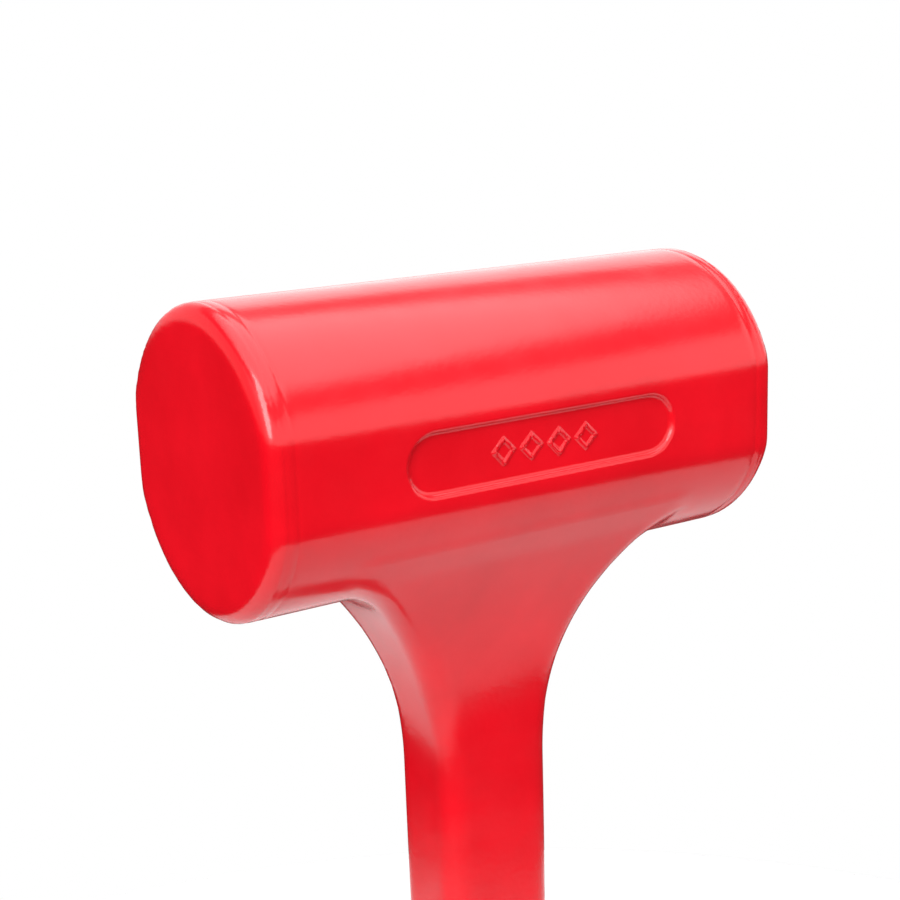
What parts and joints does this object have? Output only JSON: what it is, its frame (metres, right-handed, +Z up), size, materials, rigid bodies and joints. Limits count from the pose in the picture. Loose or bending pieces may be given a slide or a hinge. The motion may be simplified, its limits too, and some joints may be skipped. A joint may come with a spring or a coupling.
{
  "type": "dead blow mallet",
  "caption": "One-piece moulded dead blow mallet: long cylindrical head with two side flats, flared neck, straight handle, steel shot sliding in a sealed canister.",
  "frame": {"origin": "middle of the grip, on the handle's axis", "axes": "+Z up the handle towards the head, X along the head's axis through both striking faces, Y across the head's two flats"},
  "size_m": [0.122, 0.0592, 0.35],
  "materials": {
    "jacket_red": "satin",
    "canister_steel": "satin",
    "cap_steel": "satin",
    "weld_steel": "satin",
    "rod_steel": "matte",
    "shot_steel": "polished"
  },
  "bodies": {
    "mallet": {"jacket": "jacket_red", "canister_tube": "canister_steel", "canister_cap_left": "cap_steel", "canister_cap_right": "cap_steel", "cap_weld_left": "weld_steel", "cap_weld_right": "weld_steel", "rod_weld": "weld_steel", "handle_rod": "rod_steel"},
    "shot_charge": {"shot_layer_01": "shot_steel", "shot_layer_02": "shot_steel", "shot_layer_03": "shot_steel", "shot_layer_04": "shot_steel", "shot_layer_05": "shot_steel", "shot_layer_06": "shot_steel", "shot_layer_07": "shot_steel", "shot_layer_08": "shot_steel", "shot_layer_09": "shot_steel", "shot_layer_10": "shot_steel", "shot_layer_11": "shot_steel", "shot_layer_12": "shot_steel", "shot_layer_13": "shot_steel"}
  },
  "joints": [
    {"name": "shot_slide", "type": "slide", "parent": "mallet", "child": "shot_charge", "axis": [1, 0, 0], "range_m": [-0.008, 0.008]}
  ]
}
